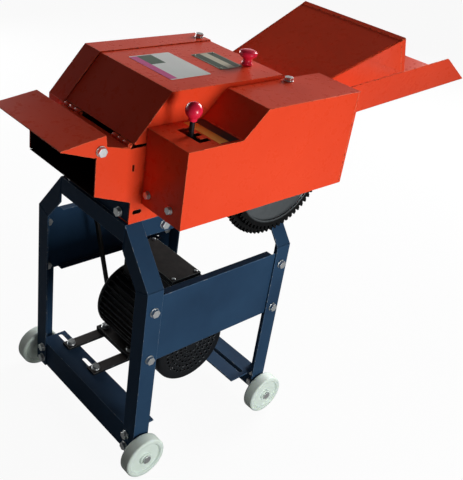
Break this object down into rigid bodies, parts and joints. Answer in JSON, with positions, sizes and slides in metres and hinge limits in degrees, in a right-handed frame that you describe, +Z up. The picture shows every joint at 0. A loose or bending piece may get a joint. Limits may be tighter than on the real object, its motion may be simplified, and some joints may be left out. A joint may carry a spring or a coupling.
{
  "type": "chaff cutter",
  "caption": "Motor-driven chaff cutter on a wheeled angle-iron stand, with flared feed trough, hinged hood, gear guard with shift lever and tilting discharge flap.",
  "frame": {"origin": "on the floor below the middle of the whole machine", "axes": "+X towards the feed end, -Y towards the gear side, +Z up"},
  "size_m": [1.1963, 0.492, 0.9084],
  "materials": {
    "navy_paint": "satin",
    "orange_paint": "gloss",
    "steel": "satin",
    "black_iron": "satin",
    "nylon": "matte",
    "red_plastic": "gloss",
    "belt_rubber": "matte",
    "black_plastic": "matte",
    "black_sheet": "satin"
  },
  "bodies": {
    "stand": {"near_front_leg": "navy_paint", "near_rear_leg": "navy_paint", "far_front_leg": "navy_paint", "far_rear_leg": "navy_paint", "top_frame": "navy_paint", "front_cross_member": "navy_paint", "rear_cross_member": "navy_paint", "near_side_panel": "navy_paint", "far_side_panel": "navy_paint", "motor_rails": "black_sheet", "frame_bolts": "steel", "wheel_axles": "steel", "motor_housing": "black_iron", "motor_end_bell": "black_iron", "motor_fan_cover": "black_sheet", "motor_terminal_box": "black_sheet", "drive_belt": "belt_rubber", "motor_bolts": "steel", "near_side_plate": "orange_paint", "far_side_plate": "orange_paint", "chute_floor": "orange_paint", "front_deck": "orange_paint", "throat_plate": "orange_paint", "shear_bar": "steel", "body_bolts": "steel", "rotor_bearings": "steel", "lower_roller_bearings": "steel", "roller_springs": "steel", "shift_rail": "steel", "lever_bracket": "black_sheet", "gear_guard": "orange_paint", "belt_guard": "orange_paint", "hinge_pins": "steel", "feed_trough": "orange_paint", "feed_cover": "orange_paint"},
    "near_front_wheel": {"near_front_wheel": "nylon"},
    "near_rear_wheel": {"near_rear_wheel": "nylon"},
    "far_front_wheel": {"far_front_wheel": "nylon"},
    "far_rear_wheel": {"far_rear_wheel": "nylon"},
    "motor_rotor": {"motor_shaft": "steel", "motor_fan": "black_plastic", "motor_pulley": "steel"},
    "cutting_rotor": {"rotor_shaft": "steel", "knife_carrier": "black_iron", "knives": "steel", "rotor_pulley": "black_iron"},
    "pinion": {"sliding_pinion": "steel"},
    "fork": {"shift_fork": "steel"},
    "yoke": {"lever_yoke": "steel"},
    "lever": {"shift_lever": "black_sheet", "lever_knob": "red_plastic"},
    "lower_roller": {"lower_roller": "steel", "double_gear": "black_iron", "lower_roller_gear": "steel"},
    "roller_blocks": {"upper_roller_blocks": "black_iron"},
    "upper_roller": {"upper_roller": "steel", "upper_roller_gear": "steel"},
    "hood": {"hood": "orange_paint"},
    "hood_knob": {"hood_knob": "red_plastic"},
    "flap": {"discharge_flap": "orange_paint"}
  },
  "joints": [
    {"name": "near_front_wheel_spin", "type": "hinge", "parent": "stand", "child": "near_front_wheel", "pos_m": [-0.436, -0.227, 0.05], "axis": [0, 1, 0], "continuous": true},
    {"name": "far_front_wheel_spin", "type": "hinge", "parent": "stand", "child": "far_front_wheel", "pos_m": [-0.436, 0.227, 0.05], "axis": [0, 1, 0], "continuous": true},
    {"name": "near_rear_wheel_spin", "type": "hinge", "parent": "stand", "child": "near_rear_wheel", "pos_m": [-0.064, -0.227, 0.05], "axis": [0, 1, 0], "continuous": true},
    {"name": "far_rear_wheel_spin", "type": "hinge", "parent": "stand", "child": "far_rear_wheel", "pos_m": [-0.064, 0.227, 0.05], "axis": [0, 1, 0], "continuous": true},
    {"name": "rotor_spin", "type": "hinge", "parent": "stand", "child": "cutting_rotor", "pos_m": [-0.28, 0, 0.725], "axis": [0, 1, 0], "continuous": true},
    {"name": "motor_spin", "type": "hinge", "parent": "stand", "child": "motor_rotor", "pos_m": [-0.238, 0, 0.207], "axis": [0, 1, 0], "continuous": true},
    {"name": "lower_roller_spin", "type": "hinge", "parent": "stand", "child": "lower_roller", "pos_m": [-0.115, 0, 0.66375], "axis": [0, 1, 0], "continuous": true},
    {"name": "roller_float", "type": "slide", "parent": "stand", "child": "roller_blocks", "axis": [0, 0, 1], "range_m": [0, 0.018], "stiffness_N_per_m": 1500, "springref_m": -0.01, "deforming": ["roller_springs"]},
    {"name": "upper_roller_spin", "type": "hinge", "parent": "roller_blocks", "child": "upper_roller", "pos_m": [-0.115, 0, 0.73576], "axis": [0, 1, 0], "continuous": true},
    {"name": "lever_latch", "type": "hinge", "parent": "stand", "child": "yoke", "pos_m": [-0.364, -0.17925, 0.67], "axis": [0, 1, 0], "range_deg": [0, 7.99]},
    {"name": "lever_shift", "type": "hinge", "parent": "yoke", "child": "lever", "pos_m": [-0.364, -0.17925, 0.67], "axis": [1, 0, 0], "range_deg": [-12.8, 12.8]},
    {"name": "fork_slide", "type": "slide", "parent": "stand", "child": "fork", "axis": [0, -1, 0], "range_m": [-0.0127, 0.0127]},
    {"name": "pinion_slide", "type": "slide", "parent": "cutting_rotor", "child": "pinion", "axis": [0, -1, 0], "range_m": [-0.0127, 0.0127]},
    {"name": "hood_open", "type": "hinge", "parent": "stand", "child": "hood", "pos_m": [-0.447, 0, 0.7515], "axis": [0, -1, 0], "range_deg": [0, 90]},
    {"name": "hood_knob_turn", "type": "hinge", "parent": "hood", "child": "hood_knob", "pos_m": [-0.11, -0.043, 0.846], "axis": [0, 0, 1], "continuous": true},
    {"name": "flap_tilt", "type": "hinge", "parent": "stand", "child": "flap", "pos_m": [-0.517, 0, 0.757], "axis": [0, 1, 0], "range_deg": [-45, 20]}
  ],
  "couplings": [
    {"joint": "motor_spin", "follows": "rotor_spin", "ratio": 2.6341},
    {"joint": "upper_roller_spin", "follows": "lower_roller_spin", "ratio": -1},
    {"joint": "fork_slide", "follows": "lever_shift", "m_per_rad": 0.055934},
    {"joint": "pinion_slide", "follows": "lever_shift", "m_per_rad": 0.055934}
  ]
}
